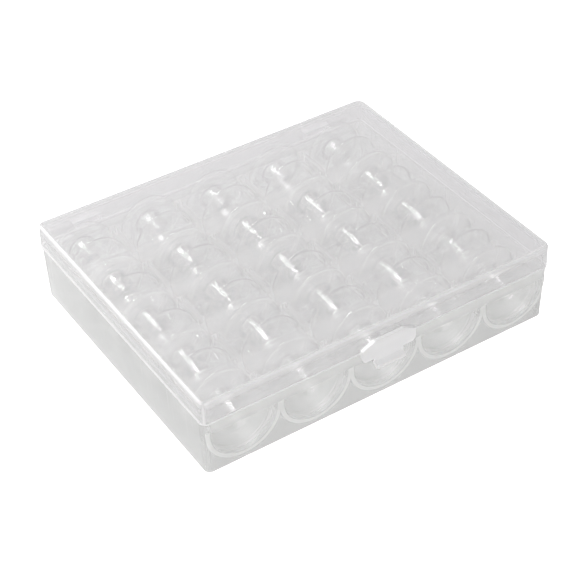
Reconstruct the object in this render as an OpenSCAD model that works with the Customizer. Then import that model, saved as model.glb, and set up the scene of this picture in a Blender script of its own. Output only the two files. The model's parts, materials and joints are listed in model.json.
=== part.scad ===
// Bobbin box: a shallow hinged case with a snap latch, whose cradle tray
// holds a grid of sewing-machine bobbins standing on edge.
// X runs along the front, Y from front to back, Z up; the box stands on z = 0.

/* [Bobbins] */
// Diameter over a bobbin's flanges
bobbin_d = 20.3; // [18:0.1:24]
// Width of a bobbin over its hub rings
bobbin_w = 11.5; // [10:0.1:14]
// Thickness of a flange at its rim
flange_t = 0.9; // [0.7:0.05:1.2]
// Diameter of the barrel that the thread is wound on
barrel_d = 9; // [8:0.1:11]
// Diameter of the spindle bore
bore_d = 6.1; // [5:0.1:6.6]
// How far the ring round the bore stands out of a flange
hub_ring_h = 0.25; // [0.1:0.05:0.5]
// Diameter of the thread hole in each flange
eye_d = 1.6; // [1:0.1:2.2]
// Distance of the thread hole from the bobbin's axis
eye_at = 7.4; // [6.8:0.1:7.8]

/* [Tray] */
// Bobbins along the front
columns = 5; // [2:1:7]
// Bobbins from front to back
rows = 5; // [2:1:7]
// Room between a flange and the side of its pocket
pocket_side_gap = 1.05; // [0.6:0.05:2]
// Room between a bobbin and the end of its pocket
pocket_end_gap = 0.45; // [0.35:0.05:1.5]
// Running gap between a bobbin and the bottom of its cradle
seat_gap = 0.3; // [0.2:0.05:0.5]
// Width of the rib between neighbouring columns
rib_t = 1.8; // [1.2:0.1:4]
// Width of the flat web between neighbouring rows
web_w = 8.4; // [5:0.1:14]
// Wall of a cradle and thickness of the deck
skin = 1.1; // [0.8:0.05:1.5]
// Height of the lowest point inside a cradle
cradle_z = 2.7; // [2:0.1:6]
// Height of the deck over the cradles' axis
deck_rise = 1.6; // [0.5:0.1:3]
// Depth of the solid foot of a rib under the cradles' axis
rib_foot = 4.2; // [3:0.1:6]
// Wall of the skirt that the tray stands on
skirt_t = 1.2; // [0.9:0.05:1.5]

/* [Case] */
// Height of the deck's guard wall up to the parting line
guard_h = 3.6; // [2.5:0.1:8]
// Room between the bobbins and the lid
head_room = 2.7; // [1:0.1:6]
// Radius of the case's upright corners
corner_r = 3; // [2.8:0.1:6]
// Radius of the lid's top edge
edge_r = 0.8; // [0.3:0.1:1]
// Draft of the outer walls in degrees
draft = 1.5; // [0.5:0.1:2]
// Wall of the lid
lid_wall = 1.2; // [1:0.05:1.5]
// Thickness of the lid's top
lid_top_t = 1.2; // [1:0.05:2]
// How far the lid stands proud of the tray at the parting line
proud = 0.38; // [0.2:0.02:0.5]
// Height of the lip that rises inside the lid
lip_h = 1.2; // [0.8:0.1:2]
// Thickness of the lip
lip_t = 0.7; // [0.5:0.05:0.9]
// Gap between the lip and the lid
lip_gap = 0.3; // [0.2:0.05:0.5]

/* [Latch] */
// Width of the latch boss on the lid
boss_w = 19; // [14:0.5:30]
// How far the boss stands out of the lid
boss_out = 1.5; // [1.2:0.1:2.5]
// Height of the boss above the parting line
boss_up = 4.2; // [2.5:0.1:5.5]
// Depth of the boss's two feet under the parting line
boss_down = 2.3; // [1.5:0.1:3]
// Radius of the boss's corners
boss_r = 1.8; // [0.8:0.1:2]
// Width of the spring tongue
tongue_w = 10; // [6:0.5:12]
// Length of the tongue under the parting line
tongue_down = 5.6; // [5:0.1:7]
// How far the finger lip stands out of the lid
finger_out = 3; // [2.6:0.1:4]
// Thickness of the finger lip
finger_t = 1.1; // [0.8:0.1:1.4]
// Width of the catch on the tray
catch_w = 8; // [4:0.5:12]
// How far the catch stands out of the tray
catch_out = 0.9; // [0.6:0.05:1.1]
// Height of the catch
catch_h = 1.3; // [1:0.1:1.8]
// Depth of the catch's lower edge under the parting line
catch_down = 3.9; // [3.2:0.1:4.5]
// Gap between the tongue and the catch
latch_gap = 0.3; // [0.2:0.05:0.5]

/* [Hinge] */
// Distance from the middle of the case to a lid knuckle's inner end
hinge_x = 39; // [20:0.5:40]
// Length of a lid knuckle
lid_knuckle_l = 10; // [6:0.5:11]
// Length of a tray knuckle
tray_knuckle_l = 7.6; // [6:0.2:8]
// Radius of the knuckles
knuckle_r = 2; // [1.8:0.1:2.6]
// Radius of the pins on the lid
pin_r = 1; // [0.8:0.05:1.2]
// Length of a pin inside the tray knuckle
pin_l = 5; // [3:0.2:5.5]
// Running clearance round a pin
pin_fit = 0.06; // [0.02:0.01:0.1]
// Gap between the knuckles and what they turn past
hinge_gap = 0.2; // [0.1:0.05:0.4]

/* [Hidden] */
$fn = 96;
// Overlap of pieces of one moulding, so that they fuse
fuse = 0.3;
// Cutters run this far past the faces that they open
past = 1;
// Turn of the thread hole from each bobbin to the next
eye_turn = 137.5;

bobbin_r = bobbin_d / 2;
pocket_r = bobbin_r + pocket_side_gap;
pocket_l = bobbin_w + 2 * pocket_end_gap;
pitch_x = 2 * pocket_r + rib_t;
pitch_y = pocket_l + web_w;
cradle_axis_z = cradle_z + pocket_r;
bobbin_z = cradle_z + seat_gap + bobbin_r;
deck_z = cradle_axis_z + deck_rise;
rim_z = deck_z + guard_h;
case_h = bobbin_z + bobbin_r + head_room + lid_top_t;

// The walls, counted outwards from the guard wall's inner face
guard_t = lid_wall + lip_gap + lip_t - proud;
guard_w = columns * pitch_x - rib_t;
guard_d = rows * pitch_y - web_w;
case_w = guard_w + 2 * (guard_t + proud);
case_d = guard_d + 2 * (guard_t + proud);
corner_x = case_w / 2 - corner_r;
corner_y = case_d / 2 - corner_r;
tray_front = case_d / 2 - proud;

hinge_y = case_d / 2 + knuckle_r + hinge_gap;
pin_from = hinge_x + lid_knuckle_l;
tray_knuckle_x = pin_from + hinge_gap;

function bobbin_name(row, column) = str("bobbin_r", row, "_c", column);

// Column 1 is the left one and row 1 is the back one
function column_x(column) = (column - (columns + 1) / 2) * pitch_x;
function row_y(row) = ((rows + 1) / 2 - row) * pitch_y;
// How far a drafted wall has come in over a height
function drafted(height) = height * tan(draft);

// Carries a section round the case: its x counts outwards from the corners'
// axes and its y is the height
module round_the_case() {
    for (east = [0, 1], north = [0, 1])
        mirror([east, 0, 0]) mirror([0, north, 0])
            translate([corner_x, corner_y, 0]) rotate_extrude(angle = 90) children();
    for (east = [0, 1])
        mirror([east, 0, 0])
            translate([corner_x, corner_y, 0]) rotate([90, 0, 0])
                linear_extrude(2 * corner_y) children();
    for (north = [0, 1])
        mirror([0, north, 0])
            translate([-corner_x, corner_y, 0]) rotate([90, 0, 90])
                linear_extrude(2 * corner_x) children();
}

// A plate between two heights, reaching out from the middle of the case
module plate(width, depth, from_z, to_z) {
    translate([-width / 2, -depth / 2, from_z]) cube([width, depth, to_z - from_z]);
}

// A round-bottomed trough along Y, open at the top
module trough(radius, length, top_z) {
    translate([0, length / 2, cradle_axis_z]) rotate([90, 0, 0])
        linear_extrude(length) {
            intersection() {
                circle(r = radius);
                translate([-radius, -radius]) square([2 * radius, radius]);
            }
            translate([-radius, 0]) square([2 * radius, top_z - cradle_axis_z]);
        }
}

module at_each_pocket() {
    for (row = [1 : rows], column = [1 : columns])
        translate([column_x(column), row_y(row), 0]) children();
}

// Skirt, guard wall and lip in one section
module tray_wall_section() {
    face = corner_r - proud;
    foot = face - drafted(rim_z);
    guard = face - guard_t;
    under_deck = deck_z - skin;
    polygon([
        [foot - skirt_t, 0],
        [foot, 0],
        [face, rim_z],
        [guard + lip_t, rim_z],
        [guard + lip_t, rim_z + lip_h],
        [guard, rim_z + lip_h],
        [guard, under_deck],
        [face - drafted(rim_z - under_deck) - skirt_t, under_deck]
    ]);
}

// Fills one corner of the skirt under the deck, which stiffens it
module corner_post() {
    post_r = corner_r - proud - drafted(rim_z) - skirt_t / 2;
    translate([corner_x, corner_y, 0]) rotate_extrude(angle = 90)
        square([post_r, deck_z - skin / 2]);
}

// The deck with its cradles, hanging from the guard wall
module cradles() {
    difference() {
        union() {
            plate(guard_w + 2 * fuse, guard_d + 2 * fuse, deck_z - skin, deck_z);
            at_each_pocket() trough(pocket_r + skin, pocket_l + 2 * skin, deck_z);
            for (row = [1 : rows], column = [1 : columns - 1])
                translate([
                    column_x(column) + pitch_x / 2 - rib_t / 2,
                    row_y(row) - pocket_l / 2 - skin,
                    cradle_axis_z - rib_foot
                ])
                    cube([rib_t, pocket_l + 2 * skin, rib_foot]);
        }
        at_each_pocket() trough(pocket_r, pocket_l, deck_z + past);
    }
}

// The bead that the lid's tongue snaps under
module catch_bead() {
    bead_top = rim_z - catch_down + catch_h;
    translate([-catch_w / 2, -tray_front, 0]) rotate([90, 0, 90])
        linear_extrude(catch_w)
            polygon([
                [fuse + drafted(rim_z), bead_top + catch_out],
                [0, bead_top + catch_out],
                [-catch_out, bead_top],
                [-catch_out, rim_z - catch_down],
                [fuse + drafted(rim_z), rim_z - catch_down]
            ]);
}

// A knuckle on the hinge axis, from x = 0 along X, and its arm to a wall
module knuckle(length, arm_from_y, arm_below) {
    translate([0, hinge_y, rim_z]) rotate([0, 90, 0]) cylinder(r = knuckle_r, h = length);
    translate([0, arm_from_y, rim_z - (arm_below ? knuckle_r : 0)])
        cube([length, hinge_y - arm_from_y, knuckle_r]);
}

module base_tray() {
    color([0.84, 0.85, 0.85, 0.6]) {
        round_the_case() tray_wall_section();
        for (east = [0, 1], north = [0, 1])
            mirror([east, 0, 0]) mirror([0, north, 0]) corner_post();
        cradles();
        catch_bead();
        for (side = [0, 1])
            mirror([side, 0, 0]) difference() {
                translate([tray_knuckle_x, 0, 0])
                    knuckle(tray_knuckle_l, tray_front - skirt_t / 2, true);
                translate([tray_knuckle_x - past, hinge_y, rim_z]) rotate([0, 90, 0])
                    cylinder(r = pin_r + pin_fit, h = tray_knuckle_l + 2 * past);
            }
    }
}

// Lid wall with its rounded top edge, and the edge of the lid's top
module lid_section() {
    round_z = case_h - edge_r;
    round_x = corner_r - drafted(round_z - rim_z) - edge_r / cos(draft);
    under_top = case_h - lid_top_t;
    polygon([
        [0, under_top],
        [corner_r - lid_wall - drafted(under_top - rim_z), under_top],
        [corner_r - lid_wall, rim_z],
        [corner_r, rim_z],
        [round_x + edge_r * cos(draft), round_z + edge_r * sin(draft)],
        [round_x, round_z],
        [round_x, case_h],
        [0, case_h]
    ]);
    translate([round_x, round_z]) circle(r = edge_r);
}

// Front view of the latch boss: a sloped top, and two round feet beside the tongue
module boss_outline() {
    low = rim_z - boss_down;
    high = rim_z + boss_up;
    shoulder = boss_up / 2;
    difference() {
        polygon([
            [-boss_w / 2, low],
            [boss_w / 2, low],
            [boss_w / 2, high - shoulder],
            [tongue_w / 2, high],
            [-tongue_w / 2, high],
            [-boss_w / 2, high - shoulder]
        ]);
        for (side = [0, 1])
            mirror([side, 0])
                translate([boss_w / 2 - boss_r, low + boss_r]) difference() {
                    translate([0, -boss_r - past]) square(boss_r + past);
                    circle(r = boss_r);
                }
        translate([-tongue_w / 2, low - past]) square([tongue_w, boss_down + past]);
    }
}

// Side view of the spring tongue: x counts outwards from the lid's face
module tongue_section() {
    tip_z = rim_z - tongue_down + finger_t / 2;
    bead_low = rim_z - catch_down - latch_gap;
    bead_high = rim_z - catch_down + catch_h + catch_out + latch_gap;
    relief = catch_out - proud + latch_gap;
    hook = latch_gap - proud;
    polygon([
        [0, rim_z],
        [0, bead_high],
        [relief, bead_high - relief],
        [relief, bead_low],
        [hook, bead_low],
        [hook, bead_low - finger_t / 2],
        [finger_out - finger_t / 2, tip_z - finger_t / 2],
        [finger_out - finger_t / 2, tip_z + finger_t / 2],
        [boss_out, bead_low + finger_t / 2],
        [boss_out, rim_z]
    ]);
    translate([finger_out - finger_t / 2, tip_z]) circle(r = finger_t / 2);
}

module latch() {
    front = -case_d / 2;
    translate([0, front, 0]) rotate([90, 0, 0]) linear_extrude(boss_out) boss_outline();
    // The boss's root inside the drafted wall, above the parting line
    translate([0, front + lid_wall / 2, 0]) rotate([90, 0, 0])
        linear_extrude(lid_wall / 2) intersection() {
            boss_outline();
            translate([-boss_w, rim_z]) square([2 * boss_w, boss_up]);
        }
    translate([-tongue_w / 2, front, 0]) mirror([0, 1, 0]) rotate([90, 0, 90])
        linear_extrude(tongue_w) tongue_section();
}

module lid() {
    color([0.85, 0.85, 0.88, 0.45]) {
        round_the_case() lid_section();
        plate(2 * corner_x, 2 * corner_y, case_h - lid_top_t, case_h);
        latch();
        for (side = [0, 1])
            mirror([side, 0, 0]) {
                translate([hinge_x, 0, 0])
                    knuckle(lid_knuckle_l, case_d / 2 - lid_wall / 2, false);
                translate([pin_from - fuse, hinge_y, rim_z]) rotate([0, 90, 0])
                    cylinder(r = pin_r, h = fuse + hinge_gap + pin_l);
            }
    }
}

// Half of a bobbin's section: x is the radius and y runs along its axis
module bobbin_section() {
    flange_face = bobbin_w / 2 - hub_ring_h;
    rim_x = bobbin_r - flange_t / 2;
    root_t = flange_t * 1.3;
    translate([bore_d / 2, -bobbin_w / 2]) square([(barrel_d - bore_d) / 2, bobbin_w]);
    for (end = [0, 1])
        mirror([0, end]) {
            polygon([
                [bore_d / 2, flange_face - root_t],
                [barrel_d / 2, flange_face - root_t],
                [rim_x, flange_face - flange_t],
                [rim_x, flange_face],
                [bore_d / 2, flange_face]
            ]);
            translate([rim_x, flange_face - flange_t / 2]) circle(d = flange_t);
        }
}

module bobbin(row, column) {
    turn = eye_turn * ((row - 1) * columns + column);
    color([0.9, 0.92, 0.95, 0.5])
        translate([column_x(column), row_y(row), bobbin_z]) rotate([90, turn, 0])
            difference() {
                rotate_extrude() bobbin_section();
                translate([eye_at, 0, -bobbin_w / 2 - past])
                    cylinder(d = eye_d, h = bobbin_w + 2 * past);
            }
}

base_tray();
lid();
for (row = [1 : rows], column = [1 : columns])
    bobbin(row, column);
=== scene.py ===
"""Dresses the bobbin box: a milky hinged case that holds clear bobbins on edge.

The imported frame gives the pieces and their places, in metres. X runs along the latch
side, Y towards the hinges and Z up, and the case stands on z = 0.
"""

import json
import logging
import math
from dataclasses import dataclass
from enum import Enum

import bpy
from mathutils import Matrix, Vector


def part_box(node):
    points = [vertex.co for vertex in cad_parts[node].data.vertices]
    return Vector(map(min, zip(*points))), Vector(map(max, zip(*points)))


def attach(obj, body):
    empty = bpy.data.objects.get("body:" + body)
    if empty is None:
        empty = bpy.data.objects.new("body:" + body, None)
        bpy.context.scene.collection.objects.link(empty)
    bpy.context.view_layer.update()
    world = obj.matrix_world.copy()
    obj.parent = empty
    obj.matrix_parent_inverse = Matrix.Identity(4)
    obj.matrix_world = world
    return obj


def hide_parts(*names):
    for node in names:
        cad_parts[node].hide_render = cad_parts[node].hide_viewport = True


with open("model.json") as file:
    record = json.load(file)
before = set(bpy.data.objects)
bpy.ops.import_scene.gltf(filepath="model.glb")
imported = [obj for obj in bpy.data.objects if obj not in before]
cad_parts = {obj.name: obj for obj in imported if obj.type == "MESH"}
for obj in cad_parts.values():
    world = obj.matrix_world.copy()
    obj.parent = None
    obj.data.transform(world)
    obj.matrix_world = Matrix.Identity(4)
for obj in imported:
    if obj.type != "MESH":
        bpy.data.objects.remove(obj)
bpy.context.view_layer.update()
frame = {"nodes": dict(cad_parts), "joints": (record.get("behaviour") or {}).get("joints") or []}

log = logging.getLogger("bobbin_box")
MM = 0.001
Colour = tuple[float, float, float]


class Socket(Enum):
    """Kinds of socket that a node group can have."""

    NUMBER = "NodeSocketFloat"
    VECTOR = "NodeSocketVector"
    WHOLE = "NodeSocketInt"
    MATERIAL = "NodeSocketMaterial"
    GEOMETRY = "NodeSocketGeometry"


class Polish(Enum):
    """Roughness that a mould's surface leaves on the plastic."""

    MIRROR = 0.03
    GLOSS = 0.12
    SATIN = 0.3


# ---------------------------------------------------------------- node helpers


class Tree:
    """A node tree with short ways to add nodes, sums and links."""

    def __init__(self, tree: bpy.types.NodeTree) -> None:
        """Wraps a tree.

        Args:
            tree: a shader or geometry node tree.
        """
        self.tree = tree

    def add(self, kind: str, **inputs: object) -> bpy.types.Node:
        """Adds a node.

        Args:
            kind: the node's type, such as ShaderNodeTexNoise.
            inputs: input values or sockets by name, with _ for a space.

        Returns:
            The new node.
        """
        node = self.tree.nodes.new(kind)
        for name, value in inputs.items():
            self.feed(node.inputs[name.replace("_", " ")], value)
        return node

    def feed(self, socket: bpy.types.NodeSocket, value: object) -> None:
        """Links a socket into an input, or sets the input to a value.

        Args:
            socket: the input.
            value: a socket, a value, or None to leave the input as it is.
        """
        if isinstance(value, bpy.types.NodeSocket):
            self.tree.links.new(value, socket)
        elif value is not None:
            socket.default_value = value

    def sum(self, operation: str, *values: object) -> bpy.types.NodeSocket:
        """Adds a Math node.

        Args:
            operation: the Math node's operation, such as ADD.
            values: sockets or numbers, in order.

        Returns:
            The node's result.
        """
        node = self.tree.nodes.new("ShaderNodeMath")
        node.operation = operation
        for socket, value in zip(node.inputs, values):
            self.feed(socket, value)
        return node.outputs[0]

    def scaled(self, value: object, low: float, high: float, to_low: object, to_high: object,
               smooth: bool = False) -> bpy.types.NodeSocket:
        """Maps a value from one range to another, held at the ends.

        Args:
            value: the socket to map.
            low: start of its range.
            high: end of its range.
            to_low: what the start becomes.
            to_high: what the end becomes.
            smooth: True for an ease at both ends.

        Returns:
            The mapped value.
        """
        node = self.tree.nodes.new("ShaderNodeMapRange")
        if smooth:
            node.interpolation_type = "SMOOTHSTEP"
        for socket, item in zip(node.inputs, (value, low, high, to_low, to_high)):
            self.feed(socket, item)
        return node.outputs[0]

    def past(self, value: object, edge: object, blur: object) -> bpy.types.NodeSocket:
        """How far a value lies past an edge.

        Args:
            value: the value.
            edge: the edge that it is measured from.
            blur: the unit that the distance is counted in.

        Returns:
            The distance, below 0 before the edge.
        """
        return self.sum("DIVIDE", self.sum("SUBTRACT", value, edge), blur)

    def most(self, value: object, mask: object, share: object) -> bpy.types.NodeSocket:
        """The larger of a value and a share of a mask.

        Args:
            value: the value.
            mask: the mask, from 0 to 1.
            share: what the mask's 1 stands for.

        Returns:
            The larger of the two.
        """
        return self.sum("MAXIMUM", value, self.sum("MULTIPLY", mask, share))

    def length(self, across: object, along: object) -> bpy.types.NodeSocket:
        """The length of the slanting way across and along.

        Args:
            across: the way on one axis.
            along: the way on the other.

        Returns:
            The length.
        """
        square = self.sum("ADD", self.sum("POWER", across, 2.0), self.sum("POWER", along, 2.0))
        return self.sum("SQRT", square)

    def blend(self, share: object, first: Colour, second: Colour) -> bpy.types.NodeSocket:
        """Mixes two colours.

        Args:
            share: the second colour's share, from 0 to 1.
            first: the colour at 0.
            second: the colour at 1.

        Returns:
            The mixed colour.
        """
        mix = self.tree.nodes.new("ShaderNodeMix")
        mix.data_type = "RGBA"
        self.feed(mix.inputs["Factor"], share)
        self.feed(mix.inputs["A"], (*first, 1.0))
        self.feed(mix.inputs["B"], (*second, 1.0))
        return mix.outputs["Result"]

    def group(self, group: bpy.types.NodeTree, **inputs: object) -> bpy.types.Node:
        """Places a node group.

        Args:
            group: a shader or geometry node group.
            inputs: input values or sockets by name, with _ for a space.

        Returns:
            The group's node.
        """
        kind = "GeometryNodeGroup" if group.bl_idname == "GeometryNodeTree" else "ShaderNodeGroup"
        node = self.tree.nodes.new(kind)
        node.node_tree = group
        for name, value in inputs.items():
            self.feed(node.inputs[name.replace("_", " ")], value)
        return node


def new_group(name: str, kind: str, inputs: dict[str, tuple[Socket, object]],
              outputs: dict[str, Socket]) -> tuple[Tree, dict, dict]:
    """Makes a node group with named inputs and outputs.

    Args:
        name: the group's name.
        kind: ShaderNodeTree or GeometryNodeTree.
        inputs: each input's kind and default value by name.
        outputs: each output's kind by name.

    Returns:
        The tree, its inputs inside the group and its outputs inside the group.
    """
    tree = bpy.data.node_groups.new(name, kind)
    for label, (socket, default) in inputs.items():
        made = tree.interface.new_socket(label, in_out="INPUT", socket_type=socket.value)
        if default is not None:
            made.default_value = default
    for label, socket in outputs.items():
        tree.interface.new_socket(label, in_out="OUTPUT", socket_type=socket.value)
    entry = tree.nodes.new("NodeGroupInput")
    leave = tree.nodes.new("NodeGroupOutput")
    return Tree(tree), entry.outputs, leave.inputs


def new_material(name: str) -> tuple[bpy.types.Material, Tree]:
    """Makes a material with an empty node tree.

    Args:
        name: the material's name.

    Returns:
        The material and its tree.
    """
    made = bpy.data.materials.new(name)
    made.use_nodes = True
    made.node_tree.nodes.clear()
    return made, Tree(made.node_tree)


# ---------------------------------------------------------------- shared effects


class Effects:
    """Shader node groups that the plastics share, each built once."""

    def __init__(self) -> None:
        """Builds the groups."""
        self.edge_ring = self.build_edge_ring()
        self.cradle_edge = self.build_cradle_edge()
        self.clouds = self.build_clouds()
        self.mould_skin = self.build_mould_skin()
        self.hairlines = self.build_hairlines()

    @staticmethod
    def build_edge_ring() -> bpy.types.NodeTree:
        """Mask of an upright case's edge: a rectangle round the case at one height.

        Returns:
            A group whose Mask is 1 on the rectangle and 0 from Reach away, whose Corner
            is 1 on its upright corners, and whose Proud is 1 on what stands out of the
            rectangle along Y.
        """
        tree, given, out = new_group("edge_ring", "ShaderNodeTree", {
            "Point": (Socket.VECTOR, None),
            "Half Width": (Socket.NUMBER, 0.06),
            "Half Depth": (Socket.NUMBER, 0.05),
            "Height": (Socket.NUMBER, 0.02),
            "Reach": (Socket.NUMBER, 0.001),
            "Corner Reach": (Socket.NUMBER, 0.002),
        }, {"Mask": Socket.NUMBER, "Corner": Socket.NUMBER, "Proud": Socket.NUMBER})
        part = tree.add("ShaderNodeSeparateXYZ", Vector=given["Point"])
        across = tree.sum("SUBTRACT", tree.sum("ABSOLUTE", part.outputs["X"]), given["Half Width"])
        along = tree.sum("SUBTRACT", tree.sum("ABSOLUTE", part.outputs["Y"]), given["Half Depth"])
        level = tree.sum("MAXIMUM", across, along)
        rise = tree.sum("SUBTRACT", part.outputs["Z"], given["Height"])
        away = tree.sum("DIVIDE", tree.length(level, rise), given["Reach"])
        tree.feed(out["Mask"], tree.scaled(away, 0.0, 1.0, 1.0, 0.0, smooth=True))
        from_corner = tree.sum("DIVIDE", tree.sum("MINIMUM", across, along), given["Corner Reach"])
        tree.feed(out["Corner"], tree.scaled(from_corner, -1.0, 0.0, 0.0, 1.0, smooth=True))
        tree.feed(out["Proud"], tree.scaled(along, 0.6 * MM, 0.9 * MM, 0.0, 1.0))
        return tree.tree

    @staticmethod
    def build_cradle_edge() -> bpy.types.NodeTree:
        """Masks of the cradles' walls, ends and ribs, seen on the faces across them.

        Returns:
            A group whose Wall is 1 where a cradle's wall meets an upright face along X,
            End is 1 on that face inside the cradle, and Rib is 1 on a rib's top.
        """
        tree, given, out = new_group("cradle_edge", "ShaderNodeTree", {
            "Point": (Socket.VECTOR, None),
            "Normal": (Socket.VECTOR, None),
            "Pitch X": (Socket.NUMBER, 0.0242),
            "Pitch Y": (Socket.NUMBER, 0.0208),
            "Half Length": (Socket.NUMBER, 0.0062),
            "Axis Height": (Socket.NUMBER, 0.0139),
            "Deck Height": (Socket.NUMBER, 0.0155),
            "Inner": (Socket.NUMBER, 0.0109),
            "Outer": (Socket.NUMBER, 0.0126),
            "Blur": (Socket.NUMBER, 0.0009),
        }, {"Wall": Socket.NUMBER, "End": Socket.NUMBER, "Rib": Socket.NUMBER})
        part = tree.add("ShaderNodeSeparateXYZ", Vector=given["Point"])
        turn = tree.add("ShaderNodeSeparateXYZ", Vector=given["Normal"])
        across = tree.sum("PINGPONG", part.outputs["X"], tree.sum("MULTIPLY", given["Pitch X"], 0.5))
        along = tree.sum("PINGPONG", part.outputs["Y"], tree.sum("MULTIPLY", given["Pitch Y"], 0.5))
        below = tree.sum("MINIMUM", tree.sum("SUBTRACT", part.outputs["Z"], given["Axis Height"]), 0.0)
        away = tree.length(across, below)
        past_inner = tree.past(away, given["Inner"], given["Blur"])
        past_outer = tree.past(given["Outer"], away, given["Blur"])
        under_deck = tree.past(given["Deck Height"], part.outputs["Z"], given["Blur"])
        in_wall = tree.sum("MINIMUM", tree.sum("MINIMUM", past_inner, past_outer), under_deck)
        in_hollow = tree.sum("MINIMUM", tree.sum("MULTIPLY", past_inner, -1.0), under_deck)
        in_rib = tree.past(across, given["Inner"], given["Blur"])
        beside = tree.past(given["Half Length"], along, given["Blur"])
        upright = tree.scaled(tree.sum("ABSOLUTE", turn.outputs["Y"]), 0.6, 0.8, 0.0, 1.0)
        level = tree.scaled(turn.outputs["Z"], 0.6, 0.8, 0.0, 1.0)
        found = {"Wall": (in_wall, upright), "End": (in_hollow, upright),
                 "Rib": (tree.sum("MINIMUM", in_rib, beside), level)}
        for name, (depth, faces) in found.items():
            inside = tree.scaled(depth, -0.5, 0.5, 0.0, 1.0, smooth=True)
            tree.feed(out[name], tree.sum("MULTIPLY", inside, faces))
        return tree.tree

    @staticmethod
    def build_clouds() -> bpy.types.NodeTree:
        """Slow change of the milkiness where the melt has flowed.

        Returns:
            A group whose Share runs from 1 - Amount to 1 + Amount.
        """
        tree, given, out = new_group("flow_clouds", "ShaderNodeTree", {
            "Point": (Socket.VECTOR, None),
            "Scale": (Socket.NUMBER, 40.0),
            "Amount": (Socket.NUMBER, 0.1),
        }, {"Share": Socket.NUMBER})
        noise = tree.add("ShaderNodeTexNoise", Vector=given["Point"], Scale=given["Scale"], Detail=3.0,
                         Roughness=0.55, Distortion=0.6)
        swing = tree.scaled(noise.outputs[0], 0.25, 0.75, -1.0, 1.0)
        tree.feed(out["Share"], tree.sum("MULTIPLY_ADD", swing, given["Amount"], 1.0))
        return tree.tree

    @staticmethod
    def build_mould_skin() -> bpy.types.NodeTree:
        """Height of a moulded wall: a slow ripple with a fine eroded grain.

        Returns:
            A group whose Height is in metres.
        """
        tree, given, out = new_group("mould_skin", "ShaderNodeTree", {
            "Point": (Socket.VECTOR, None),
            "Ripple": (Socket.NUMBER, 0.00002),
            "Grain": (Socket.NUMBER, 0.000002),
        }, {"Height": Socket.NUMBER})
        ripple = tree.add("ShaderNodeTexNoise", Vector=given["Point"], Scale=85.0, Detail=1.0)
        grain = tree.add("ShaderNodeTexNoise", Vector=given["Point"], Scale=2600.0, Detail=2.0)
        slow = tree.sum("MULTIPLY", ripple.outputs[0], given["Ripple"])
        tree.feed(out["Height"], tree.sum("MULTIPLY_ADD", grain.outputs[0], given["Grain"], slow))
        return tree.tree

    @staticmethod
    def build_hairlines() -> bpy.types.NodeTree:
        """Fine scuffs from handling, in two slanting directions.

        Returns:
            A group whose Mask is 1 on a scuff.
        """
        tree, given, out = new_group("hairlines", "ShaderNodeTree", {
            "Point": (Socket.VECTOR, None),
            "Scale": (Socket.NUMBER, 60.0),
        }, {"Mask": Socket.NUMBER})
        found = []
        for turn, stretch in ((0.5, 24.0), (-0.9, 17.0)):
            place = tree.add("ShaderNodeMapping", Vector=given["Point"], Rotation=(0.0, 0.0, turn),
                             Scale=(1.0, stretch, 1.0))
            noise = tree.add("ShaderNodeTexNoise", Vector=place.outputs[0], Scale=given["Scale"], Detail=2.0,
                             Roughness=0.6)
            found.append(tree.scaled(noise.outputs[0], 0.66, 0.74, 0.0, 1.0))
        tree.feed(out["Mask"], tree.sum("MAXIMUM", *found))
        return tree.tree


# ---------------------------------------------------------------- finishes


@dataclass(frozen=True)
class EdgeRing:
    """A moulded edge with a painted highlight: a rectangle round the case at one height.

    Half width, half depth, height and reach are in metres; the share that follows is how much
    of the whiter edge colour shows there, a painted highlight that partly stands for the thicker
    plastic, and corner how much shows on its upright corners as a painted sheen.
    """

    half_w: float
    half_d: float
    height: float
    reach: float
    thickness_and_painted_highlight: float
    corner: float = 0.0


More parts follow.
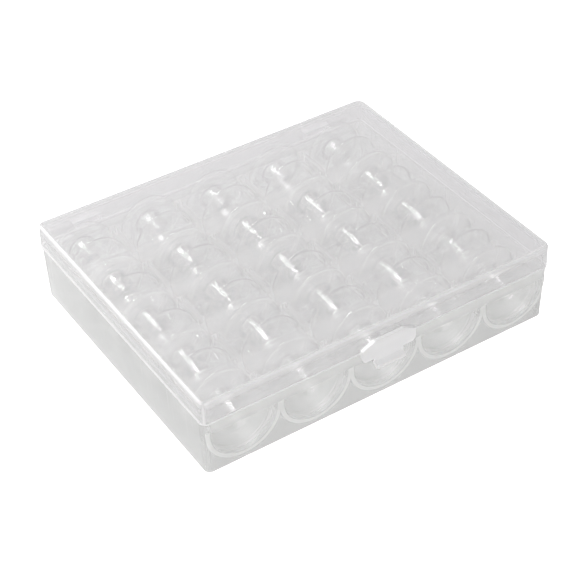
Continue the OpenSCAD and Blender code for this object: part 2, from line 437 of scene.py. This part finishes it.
@dataclass(frozen=True)
class MilkyPlastic:
    """Thin moulded polypropylene that veils what lies behind it.

    Veil is the share of a face that scatters light as haze, and rise how much that
    grows towards a grazing view. Haze throws most of its light forwards, so only the
    share shade of it keeps light from what lies behind. Thick is how white the solid
    latch and knuckles look, rings name the edges painted whiter, a painted highlight
    that partly stands for the thicker plastic there, and cradles is how white the
    cradles' walls, ends and ribs look.
    """

    name: str
    haze: Colour
    edge: Colour
    veil: float
    rise: float
    shade: float
    thick: float
    polish: Polish
    ripple: float
    grain: float
    rings: tuple[EdgeRing, ...]
    cradles: tuple[tuple[str, float], ...] = ()

    INDEX = 1.9
    GRAZING_BLEND = 0.4
    CLOUD_SCALE, CLOUD_SWING = 38.0, 0.08
    SCUFF_SCALE, SCUFF_VEIL, SCUFF_ROUGHNESS = 55.0, 0.04, 0.2
    EDGE_ROUGHNESS = 0.45

    def thickness_and_painted_highlight(self, tree: Tree, effects: Effects, point: bpy.types.NodeSocket) -> bpy.types.NodeSocket:
        """Where the plastic looks whiter: a painted highlight along its edges, partly for the thicker
        plastic there, and its latch, knuckles and cradles.

        Args:
            tree: the material's tree.
            effects: the shared node groups.
            point: the place on the surface.

        Returns:
            A share from 0 to 1.
        """
        thickness_and_painted_highlight: object = 0.0
        if self.cradles:
            normal = tree.add("ShaderNodeTexCoord").outputs["Normal"]
            cradle = tree.group(effects.cradle_edge, Point=point, Normal=normal)
            for name, share in self.cradles:
                thickness_and_painted_highlight = tree.most(thickness_and_painted_highlight, cradle.outputs[name], share)
        # each ring paints a highlight along its edge, partly for the thicker plastic there, and a painted
        # sheen on its upright corners
        for ring in self.rings:
            mask = tree.group(effects.edge_ring, Point=point, Half_Width=ring.half_w,
                              Half_Depth=ring.half_d, Height=ring.height, Reach=ring.reach)
            thickness_and_painted_highlight = tree.most(thickness_and_painted_highlight, mask.outputs["Mask"], ring.thickness_and_painted_highlight)
            thickness_and_painted_highlight = tree.most(thickness_and_painted_highlight, mask.outputs["Corner"], ring.corner)
        return tree.most(thickness_and_painted_highlight, mask.outputs["Proud"], self.thick)

    def material(self, effects: Effects) -> bpy.types.Material:
        """Builds the material.

        Args:
            effects: the shared node groups.

        Returns:
            The new material.
        """
        made, tree = new_material(self.name)
        point = tree.add("ShaderNodeTexCoord").outputs["Object"]
        thickness_and_painted_highlight = self.thickness_and_painted_highlight(tree, effects, point)
        clouds = tree.group(effects.clouds, Point=point, Scale=self.CLOUD_SCALE, Amount=self.CLOUD_SWING)
        scuffs = tree.group(effects.hairlines, Point=point, Scale=self.SCUFF_SCALE).outputs["Mask"]
        skin = tree.group(effects.mould_skin, Point=point, Ripple=self.ripple, Grain=self.grain)
        bump = tree.add("ShaderNodeBump", Height=skin.outputs["Height"], Strength=1.0, Distance=1.0)
        # whiter where the plastic is thick, with painted highlights along the edges
        colour = tree.blend(thickness_and_painted_highlight, self.haze, self.edge)
        facing = tree.add("ShaderNodeLayerWeight", Blend=self.GRAZING_BLEND).outputs["Facing"]
        veil = tree.scaled(facing, 0.0, 1.0, self.veil, self.veil + self.rise)
        veil = tree.sum("MULTIPLY", veil, clouds.outputs["Share"])
        veil = tree.sum("MULTIPLY_ADD", scuffs, self.SCUFF_VEIL, veil)
        veil = tree.sum("MINIMUM", tree.sum("MAXIMUM", veil, thickness_and_painted_highlight), 1.0)
        kept = tree.scaled(lighting(tree), 0.0, 1.0, 1.0, self.shade)
        rough = tree.sum("MULTIPLY_ADD", scuffs, self.SCUFF_ROUGHNESS, self.polish.value)
        body = tree.add("ShaderNodeBsdfPrincipled", Base_Color=colour, IOR=self.INDEX,
                        Roughness=tree.sum("MULTIPLY_ADD", thickness_and_painted_highlight, self.EDGE_ROUGHNESS, rough),
                        Normal=bump.outputs["Normal"], Alpha=tree.sum("MULTIPLY", veil, kept))
        tree.add("ShaderNodeOutputMaterial", Surface=body.outputs[0])
        return made


@dataclass(frozen=True)
class ClearPlastic:
    """Polished clear plastic whose thin flanges bend sight less than the barrel.

    Thin, hub and rim are the shares of sight that the flanges, the barrel and the rims
    bend, shade the share that keeps a lamp's light out, and the darker colour is painted
    shade on a rim seen edge-on, in place of the dark outline that bent light gives it.
    """

    name: str
    colour: Colour
    painted_rim_shade: Colour
    thin: float
    hub: float
    rim: float
    shade: float
    polish: Polish
    rim_haze: float
    barrel: float
    reach: float

    INDEX = 1.45
    COAT_INDEX, COAT_ROUGHNESS = 1.7, 0.05
    SCUFF_SCALE, SCUFF_SHARE, SCUFF_ROUGHNESS = 140.0, 0.1, 0.05
    RIPPLE = 0.03 * MM
    RIM_STARTS, RIM_ENDS = 0.8 * MM, 0.3 * MM
    HUB_STARTS, HUB_ENDS = 0.1 * MM, 0.4 * MM
    GRAZING = (0.35, 0.85)
    GRAZING_HUB = 0.25

    def material(self, effects: Effects) -> bpy.types.Material:
        """Builds the material.

        Args:
            effects: the shared node groups.

        Returns:
            The new material.
        """
        made, tree = new_material(self.name)
        point = tree.add("ShaderNodeTexCoord").outputs["Object"]
        from_axis = tree.add("ShaderNodeAttribute")
        from_axis.attribute_name = BobbinSet.RADIUS
        radius = from_axis.outputs["Fac"]
        rim = tree.scaled(radius, self.reach - self.RIM_STARTS, self.reach - self.RIM_ENDS, 0.0, 1.0,
                          smooth=True)
        hub = tree.scaled(radius, self.barrel + self.HUB_STARTS, self.barrel + self.HUB_ENDS, 1.0, 0.0,
                          smooth=True)
        off_hub = tree.sum("SUBTRACT", 1.0, hub)
        scuffs = tree.group(effects.hairlines, Point=point, Scale=self.SCUFF_SCALE).outputs["Mask"]
        rough = tree.sum("MULTIPLY_ADD", rim, self.rim_haze, self.polish.value)
        skin = tree.group(effects.mould_skin, Point=point, Ripple=self.RIPPLE, Grain=0.0)
        bump = tree.add("ShaderNodeBump", Height=skin.outputs["Height"], Strength=1.0, Distance=1.0)
        facing = tree.add("ShaderNodeLayerWeight", Blend=0.5).outputs["Facing"]
        edge_on = tree.scaled(facing, *self.GRAZING, 0.0, 1.0)
        # a rim seen edge-on is painted darker, a painted shade in place of the dark outline that bent light
        # gives it
        colour = tree.blend(tree.sum("MULTIPLY", rim, edge_on), self.colour, self.painted_rim_shade)
        hub = tree.sum("MULTIPLY", hub, tree.scaled(edge_on, 0.0, 0.8, 1.0, self.GRAZING_HUB))
        hub = tree.scaled(hub, 0.0, 1.0, self.thin, self.hub)
        rim = tree.scaled(tree.most(rim, edge_on, off_hub), 0.0, 1.0, self.thin, self.rim)
        share = tree.sum("MULTIPLY_ADD", scuffs, self.SCUFF_SHARE, tree.sum("MAXIMUM", rim, hub))
        kept = tree.scaled(lighting(tree), 0.0, 1.0, 1.0, self.shade)
        body = tree.add("ShaderNodeBsdfPrincipled", Base_Color=colour, IOR=self.INDEX,
                        Roughness=tree.sum("MULTIPLY_ADD", scuffs, self.SCUFF_ROUGHNESS, rough),
                        Transmission_Weight=1.0, Specular_IOR_Level=1.0, Coat_Weight=1.0,
                        Coat_IOR=self.COAT_INDEX, Coat_Roughness=self.COAT_ROUGHNESS,
                        Normal=bump.outputs["Normal"], Alpha=tree.sum("MULTIPLY", share, kept))
        tree.add("ShaderNodeOutputMaterial", Surface=body.outputs[0])
        return made


def lighting(tree: Tree) -> bpy.types.NodeSocket:
    """Tells the rays that bring light to a surface from those that look at it.

    Args:
        tree: a material's tree.

    Returns:
        1 on a ray that brings light, 0 on one that looks.
    """
    path = tree.add("ShaderNodeLightPath")
    return tree.sum("MAXIMUM", path.outputs["Is Shadow Ray"], path.outputs["Is Diffuse Ray"])


# ---------------------------------------------------------------- the case


@dataclass
class Case:
    """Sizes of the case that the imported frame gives, in metres."""

    half_w: float
    half_d: float
    height: float
    rim_z: float
    foot_half_w: float
    foot_half_d: float

    KNUCKLE_AND_GAP = 2.2 * MM
    LID_OVERHANG = 0.38 * MM
    SKIRT_DRAFT = 1.5

    @classmethod
    def from_frame(cls) -> "Case":
        """Reads the case from the lid's box and the hinge.

        Returns:
            The case's sizes.
        """
        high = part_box("lid")[1]
        hinge = next(joint for joint in frame["joints"] if joint["name"] == "lid_hinge")
        rim_z = hinge["pos_m"][2]
        half_w = high.x
        half_d = hinge["pos_m"][1] - cls.KNUCKLE_AND_GAP
        drawn_in = cls.LID_OVERHANG + rim_z * math.tan(math.radians(cls.SKIRT_DRAFT))
        return cls(half_w, half_d, high.z, rim_z, half_w - drawn_in, half_d - drawn_in)


@dataclass
class Lid:
    """The shallow clear lid with its latch and hinge knuckles."""

    case: Case
    top_draw: float = 0.19 * MM

    def dress(self, effects: Effects) -> None:
        """Gives the lid its plastic.

        Args:
            effects: the shared node groups.
        """
        case = self.case
        top_w = case.half_w - self.top_draw
        top_d = case.half_d - self.top_draw
        finish = MilkyPlastic(
            name="lid_clear_polypropylene",
            # edge is the whiter colour of the thick latch and knuckles and of the painted highlights on the
            # edges
            haze=(0.77, 0.755, 0.77), edge=(0.92, 0.915, 0.92),
            veil=0.16, rise=0.25, shade=0.3, thick=0.66,
            polish=Polish.GLOSS, ripple=0.01 * MM, grain=0.0003 * MM,
            rings=(
                # painted highlights, partly for the thicker plastic, on the rounded top edge with painted
                # sheen on its upright corners, the wall under it, its inside, and the lower edge
                EdgeRing(top_w - 0.3 * MM, top_d - 0.3 * MM, case.height - 0.3 * MM, 1.2 * MM, 0.78, 0.6),
                EdgeRing(top_w, top_d, case.height - 0.8 * MM, 3.4 * MM, 0.5),
                EdgeRing(top_w - 1.2 * MM, top_d - 1.2 * MM, case.height - 1.3 * MM, 0.6 * MM, 0.45),
                EdgeRing(case.half_w - 0.4 * MM, case.half_d - 0.4 * MM, case.rim_z, 0.8 * MM, 0.8),
            ),
        )
        dress_node("lid", finish.material(effects))


@dataclass
class CradleTray:
    """The milky tray with its cradles, skirt, lip, catch and hinge knuckles."""

    case: Case

    def dress(self, effects: Effects) -> None:
        """Gives the tray its plastic.

        Args:
            effects: the shared node groups.
        """
        case = self.case
        lip_in = 1.3 * MM
        finish = MilkyPlastic(
            name="tray_milky_polypropylene",
            # edge is the whiter colour of the thick parts and cradles and of the painted highlights on the
            # edges
            haze=(0.75, 0.75, 0.74), edge=(0.92, 0.92, 0.91),
            veil=0.15, rise=0.3, shade=0.3, thick=0.4,
            polish=Polish.SATIN, ripple=0.015 * MM, grain=0.001 * MM,
            cradles=(("Wall", 0.62), ("End", 0.18), ("Rib", 0.15)),
            rings=(
                # painted highlights, partly for the thicker plastic, on the foot of the skirt with painted
                # sheen on its upright corners, and on the lip inside the lid
                EdgeRing(case.foot_half_w, case.foot_half_d, 0.0, 0.7 * MM, 0.6, 0.35),
                EdgeRing(case.half_w - lip_in, case.half_d - lip_in, case.rim_z + 1.2 * MM, 0.6 * MM, 0.4),
            ),
        )
        dress_node("base_tray", finish.material(effects))


def dress_node(name: str, material: bpy.types.Material) -> None:
    """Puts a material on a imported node.

    Args:
        name: the node's name.
        material: its new material.
    """
    piece = frame["nodes"][name]
    piece.data.materials.clear()
    piece.data.materials.append(material)
    log.info("%s: %s", name, material.name)


# ---------------------------------------------------------------- the bobbins


@dataclass
class BobbinSet:
    """The clear bobbins, each turned from one section and pierced for the thread."""

    RADIUS = "from_axis"

    barrel_r: float = 4.5 * MM
    bore_r: float = 3.05 * MM
    flange_t: float = 0.9 * MM
    root_t: float = 1.17 * MM
    ring_h: float = 0.25 * MM
    dish: float = 0.12 * MM
    fillet: float = 0.5 * MM
    eye_r: float = 0.8 * MM
    eye_at: float = 7.4 * MM
    eye_turn: float = 137.5
    columns: int = 5
    segments: int = 72
    crease_angle: float = 35.0

    def __post_init__(self) -> None:
        """Reads the outer sizes from the first bobbin's box."""
        low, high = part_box("bobbin_r1_c1")
        self.half_w = (high.y - low.y) / 2
        self.radius = (high.z - low.z) / 2
        self.names = sorted(name for name in frame["nodes"] if name.startswith("bobbin_"))
        self.places = {joint["child"]: Vector(joint["pos_m"]) for joint in frame["joints"]}

    def half_section(self) -> list[tuple[float, float]]:
        """The section of one half, as points (radius, distance along the axis).

        Returns:
            Points from the barrel's middle round the flange to the bore.
        """
        face = self.half_w - self.ring_h
        inner_rim = face - self.flange_t
        inner_root = face - self.root_t
        rim_r = self.flange_t / 2
        rim_x = self.radius - rim_r
        points = [(self.barrel_r, 0.0)]
        points += arc(self.barrel_r + self.fillet, inner_root - self.fillet, self.fillet, 180, 96, 6)
        points += arc(rim_x, inner_rim + rim_r, rim_r, -90, 90, 10)
        step = 0.25 * MM
        points += [
            (rim_x - step, face),
            (rim_x - 2 * step, face - self.dish),
            (self.barrel_r + 2 * step, face - self.dish),
            (self.barrel_r + step, face),
        ]
        points += arc(self.barrel_r - step / 2, self.half_w - step / 2, step / 2, 0, 90, 4)
        points += arc(self.bore_r + step / 2, self.half_w - step / 2, step / 2, 90, 180, 4)
        return points

    def section_mesh(self) -> bpy.types.Mesh:
        """The closed section, drawn about the barrel's own radius.

        Returns:
            A mesh of points and edges in the XY plane.
        """
        half = self.half_section()
        other = [(x, -y) for x, y in reversed(half[1:])]
        ring = [(x - self.barrel_r, y, 0.0) for x, y in half + other]
        count = len(ring)
        mesh = bpy.data.meshes.new("bobbin_section")
        mesh.from_pydata(ring, [(i, (i + 1) % count) for i in range(count)], [])
        return mesh

    def turning_tree(self) -> bpy.types.NodeTree:
        """Turns the section into a bobbin, pierces it and lays it in its cradle.

        Returns:
            A geometry node group with the bobbin's sizes and place as inputs.
        """
        tree, given, out = new_group("bobbin_turning", "GeometryNodeTree", {
            "Section": (Socket.GEOMETRY, None),
            "Barrel Radius": (Socket.NUMBER, self.barrel_r),
            "Steps": (Socket.WHOLE, self.segments),
            "Eye Radius": (Socket.NUMBER, self.eye_r),
            "Eye Distance": (Socket.NUMBER, self.eye_at),
            "Half Width": (Socket.NUMBER, self.half_w),
            "Turn": (Socket.NUMBER, 0.0),
            "Centre": (Socket.VECTOR, (0.0, 0.0, 0.0)),
            "Plastic": (Socket.MATERIAL, None),
        }, {"Bobbin": Socket.GEOMETRY})
        path = tree.add("GeometryNodeCurvePrimitiveCircle", Resolution=given["Steps"],
                        Radius=given["Barrel Radius"])
        section = tree.add("GeometryNodeMeshToCurve", Mesh=given["Section"])
        turned = tree.add("GeometryNodeCurveToMesh", Curve=path.outputs["Curve"],
                          Profile_Curve=section.outputs["Curve"])
        through = tree.sum("MULTIPLY", given["Half Width"], 3.0)
        pin = tree.add("GeometryNodeMeshCylinder", Vertices=20, Radius=given["Eye Radius"], Depth=through)
        spot = tree.add("ShaderNodeCombineXYZ", X=given["Eye Distance"])
        pin = tree.add("GeometryNodeTransform", Geometry=pin.outputs["Mesh"], Translation=spot.outputs[0])
        pierced = tree.tree.nodes.new("GeometryNodeMeshBoolean")
        pierced.operation = "DIFFERENCE"
        tree.feed(pierced.inputs[0], turned.outputs["Mesh"])
        tree.feed(pierced.inputs[1], pin.outputs["Geometry"])
        place = tree.add("ShaderNodeSeparateXYZ", Vector=tree.add("GeometryNodeInputPosition").outputs[0])
        radius = tree.length(place.outputs["X"], place.outputs["Y"])
        marked = tree.add("GeometryNodeStoreNamedAttribute", Geometry=pierced.outputs["Mesh"],
                          Name=self.RADIUS, Value=radius)
        angle = tree.add("ShaderNodeCombineXYZ", X=math.radians(90), Y=given["Turn"])
        laid = tree.add("GeometryNodeTransform", Geometry=marked.outputs["Geometry"],
                        Translation=given["Centre"], Rotation=angle.outputs[0])
        smooth = tree.add("GeometryNodeSetShadeSmooth", Geometry=laid.outputs["Geometry"])
        crease = tree.tree.nodes.new("GeometryNodeSetShadeSmooth")
        crease.domain = "EDGE"
        bend = tree.add("GeometryNodeInputMeshEdgeAngle").outputs["Unsigned Angle"]
        sharp = tree.sum("GREATER_THAN", bend, math.radians(self.crease_angle))
        tree.feed(crease.inputs["Geometry"], smooth.outputs["Geometry"])
        tree.feed(crease.inputs["Selection"], sharp)
        crease.inputs["Shade Smooth"].default_value = False
        real = tree.add("GeometryNodeRealizeInstances", Geometry=crease.outputs["Geometry"])
        done = tree.add("GeometryNodeSetMaterial", Geometry=real.outputs["Geometry"],
                        Material=given["Plastic"])
        tree.feed(out["Bobbin"], done.outputs["Geometry"])
        return tree.tree

    def build(self, effects: Effects) -> None:
        """Makes every bobbin in its own cradle.

        Args:
            effects: the shared node groups.
        """
        plastic = ClearPlastic(
            # the darker colour is painted shade on the rims seen edge-on
            name="bobbin_clear_styrene", colour=(0.985, 0.99, 0.98), painted_rim_shade=(0.58, 0.585, 0.57),
            thin=0.2, hub=0.58, rim=0.88, shade=0.15, polish=Polish.MIRROR, rim_haze=0.1,
            barrel=self.barrel_r, reach=self.radius,
        ).material(effects)
        turning = self.turning_tree()
        section = self.section_mesh()
        for name in self.names:
            row, column = (int(part[1:]) for part in name.split("_")[1:])
            turn = -math.radians(self.eye_turn * ((row - 1) * self.columns + column))
            piece = evaluated(f"clear_{name}", section, turning, {
                "Turn": turn, "Centre": self.places[name], "Plastic": plastic,
            })
            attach(piece, name)
            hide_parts(name)
            log.info("%s: %d faces", piece.name, len(piece.data.polygons))


def arc(centre_x: float, centre_y: float, radius: float, start: float, end: float,
        steps: int) -> list[tuple[float, float]]:
    """Points along an arc.

    Args:
        centre_x: the centre's x.
        centre_y: the centre's y.
        radius: the arc's radius.
        start: first angle in degrees.
        end: last angle in degrees.
        steps: number of straight steps.

    Returns:
        The arc's points, ends included.
    """
    angles = [math.radians(start + (end - start) * i / steps) for i in range(steps + 1)]
    return [(centre_x + radius * math.cos(a), centre_y + radius * math.sin(a)) for a in angles]


def evaluated(name: str, mesh: bpy.types.Mesh, tree: bpy.types.NodeTree,
              values: dict[str, object]) -> bpy.types.Object:
    """Runs a geometry node tree on a mesh and keeps the result as a plain mesh.

    Args:
        name: the new object's name.
        mesh: what the tree starts from.
        tree: the geometry node tree.
        values: values of its inputs, by name.

    Returns:
        The new object, linked and without modifiers.
    """
    holder = bpy.data.objects.new(name + "_holder", mesh)
    bpy.context.scene.collection.objects.link(holder)
    modifier = holder.modifiers.new("nodes", "NODES")
    modifier.node_group = tree
    for item in tree.interface.items_tree:
        if item.in_out == "INPUT" and item.name in values:
            modifier[item.identifier] = values[item.name]
    holder.update_tag()
    graph = bpy.context.evaluated_depsgraph_get()
    plain = bpy.data.meshes.new_from_object(holder.evaluated_get(graph))
    plain.name = name
    bpy.data.objects.remove(holder)
    piece = bpy.data.objects.new(name, plain)
    bpy.context.scene.collection.objects.link(piece)
    return piece


# ---------------------------------------------------------------- the studio


@dataclass(frozen=True)
class Softbox:
    """A rectangular lamp: lean is the way from the case to it, its sizes are in metres."""

    name: str
    lean: Colour
    distance: float
    width: float
    height: float
    watts: float

    def hang(self) -> None:
        """Hangs the lamp so that it looks at the case."""
        data = bpy.data.lights.new(self.name, "AREA")
        data.energy = self.watts
        data.shape = "RECTANGLE"
        data.size, data.size_y = self.width, self.height
        lamp = bpy.data.objects.new(self.name, data)
        bpy.context.scene.collection.objects.link(lamp)
        way = Vector(self.lean).normalized()
        turn = way.to_track_quat("Z", "Y").to_matrix().to_4x4()
        lamp.matrix_world = Matrix.Translation(way * self.distance) @ turn


@dataclass
class Studio:
    """A pale floor, soft light and the camera."""

    target: Colour = (-0.00603, -0.00987, 0.0136)
    distance: float = 0.48993
    azimuth: float = 57.396
    dip: float = 39.62
    roll: float = -1.455
    sensor: float = 36.0
    focal: float = 98.8
    floor_half: float = 3.0
    # the floor's grey shows only through the case, where the white-out is left off: painted shade behind the
    # case
    floor_colour: Colour = (0.66, 0.66, 0.66)
    floor_level: float = -0.05 * MM
    white_out: float = 0.83
    sky: float = 0.26
    lamps: tuple[Softbox, ...] = (
        Softbox("overhead_softbox", (-0.16, 0.65, 0.74), distance=0.9, width=0.46, height=0.3, watts=7.1),
        Softbox("side_fill", (-0.56, -0.76, 0.31), distance=1.2, width=1.0, height=1.0, watts=9.8),
    )

    def build(self) -> None:
        """Sets the floor, sky, lamps, camera and the view's colour handling."""
        self.build_floor()
        self.build_sky()
        for lamp in self.lamps:
            lamp.hang()
        self.build_camera()
        scene = bpy.context.scene
        scene.view_settings.view_transform = "Standard"
        scene.cycles.max_bounces = 24
        scene.cycles.transmission_bounces = 24
        scene.cycles.transparent_max_bounces = 48

    def build_floor(self) -> None:
        """A plain floor that shows white to the camera and keeps the shadow, and shows its grey through the
        case, a painted shade behind it.
        """
        half, level = self.floor_half, self.floor_level
        mesh = bpy.data.meshes.new("studio_floor")
        mesh.from_pydata([(-half, -half, level), (half, -half, level), (half, half, level),
                          (-half, half, level)], [], [(0, 1, 2, 3)])
        made, tree = new_material("studio_paper")
        paper = tree.add("ShaderNodeBsdfPrincipled", Base_Color=(*self.floor_colour, 1.0), Roughness=1.0,
                         Specular_IOR_Level=0.0, Emission_Color=(1.0, 1.0, 1.0, 1.0),
                         Emission_Strength=tree.sum("MULTIPLY", seen_directly(tree), self.white_out))
        tree.add("ShaderNodeOutputMaterial", Surface=paper.outputs[0])
        mesh.materials.append(made)
        floor = bpy.data.objects.new("studio_floor", mesh)
        bpy.context.scene.collection.objects.link(floor)

    def build_sky(self) -> None:
        """An even white sky, at full white only where it is seen in the open, and dim through the case, a
        painted shade behind it.
        """
        world = bpy.data.worlds.new("studio_sky")
        bpy.context.scene.world = world
        world.use_nodes = True
        tree = Tree(world.node_tree)
        back = world.node_tree.nodes["Background"]
        back.inputs["Color"].default_value = (1.0, 1.0, 1.0, 1.0)
        tree.feed(back.inputs["Strength"], tree.scaled(seen_directly(tree), 0.0, 1.0, self.sky, 1.0))

    def build_camera(self) -> None:
        """The camera, looking down at the latch side from the left."""
        data = bpy.data.cameras.new("studio_camera")
        data.sensor_width = self.sensor
        data.lens = self.focal
        camera = bpy.data.objects.new("studio_camera", data)
        bpy.context.scene.collection.objects.link(camera)
        turn, dip = math.radians(self.azimuth), math.radians(self.dip)
        sight = Vector((math.cos(dip) * math.cos(turn), math.cos(dip) * math.sin(turn), -math.sin(dip)))
        place = Vector(self.target) - sight * self.distance
        level = sight.to_track_quat("-Z", "Y").to_matrix().to_4x4()
        rolled = Matrix.Rotation(math.radians(self.roll), 4, "Z")
        camera.matrix_world = Matrix.Translation(place) @ level @ rolled
        bpy.context.scene.camera = camera


def seen_directly(tree: Tree) -> bpy.types.NodeSocket:
    """Tells where the camera sees a surface in the open, in gloss or through glass.

    Args:
        tree: the tree of the floor's material or of the sky.

    Returns:
        1 where it is seen so, 0 behind milky plastic and on rays that bring light; the 0 behind the plastic
        paints shade behind the case.
    """
    path = tree.add("ShaderNodeLightPath")
    seen = tree.sum("MAXIMUM", path.outputs["Is Camera Ray"], path.outputs["Is Glossy Ray"])
    seen = tree.sum("MAXIMUM", seen, path.outputs["Is Transmission Ray"])
    # behind the milky plastic the white is left off, a painted shade behind the case on top of the floor's
    # real shadow
    in_the_open = tree.sum("LESS_THAN", path.outputs["Transparent Depth"], 0.5)
    return tree.sum("MULTIPLY", seen, in_the_open)


# ---------------------------------------------------------------- the making


def main() -> None:
    """Dresses the case, makes the bobbins and sets up the studio."""
    logging.basicConfig(level=logging.INFO, format="%(message)s")
    effects = Effects()
    case = Case.from_frame()
    CradleTray(case).dress(effects)
    Lid(case).dress(effects)
    BobbinSet().build(effects)
    Studio().build()


if __name__ == "__main__":
    main()
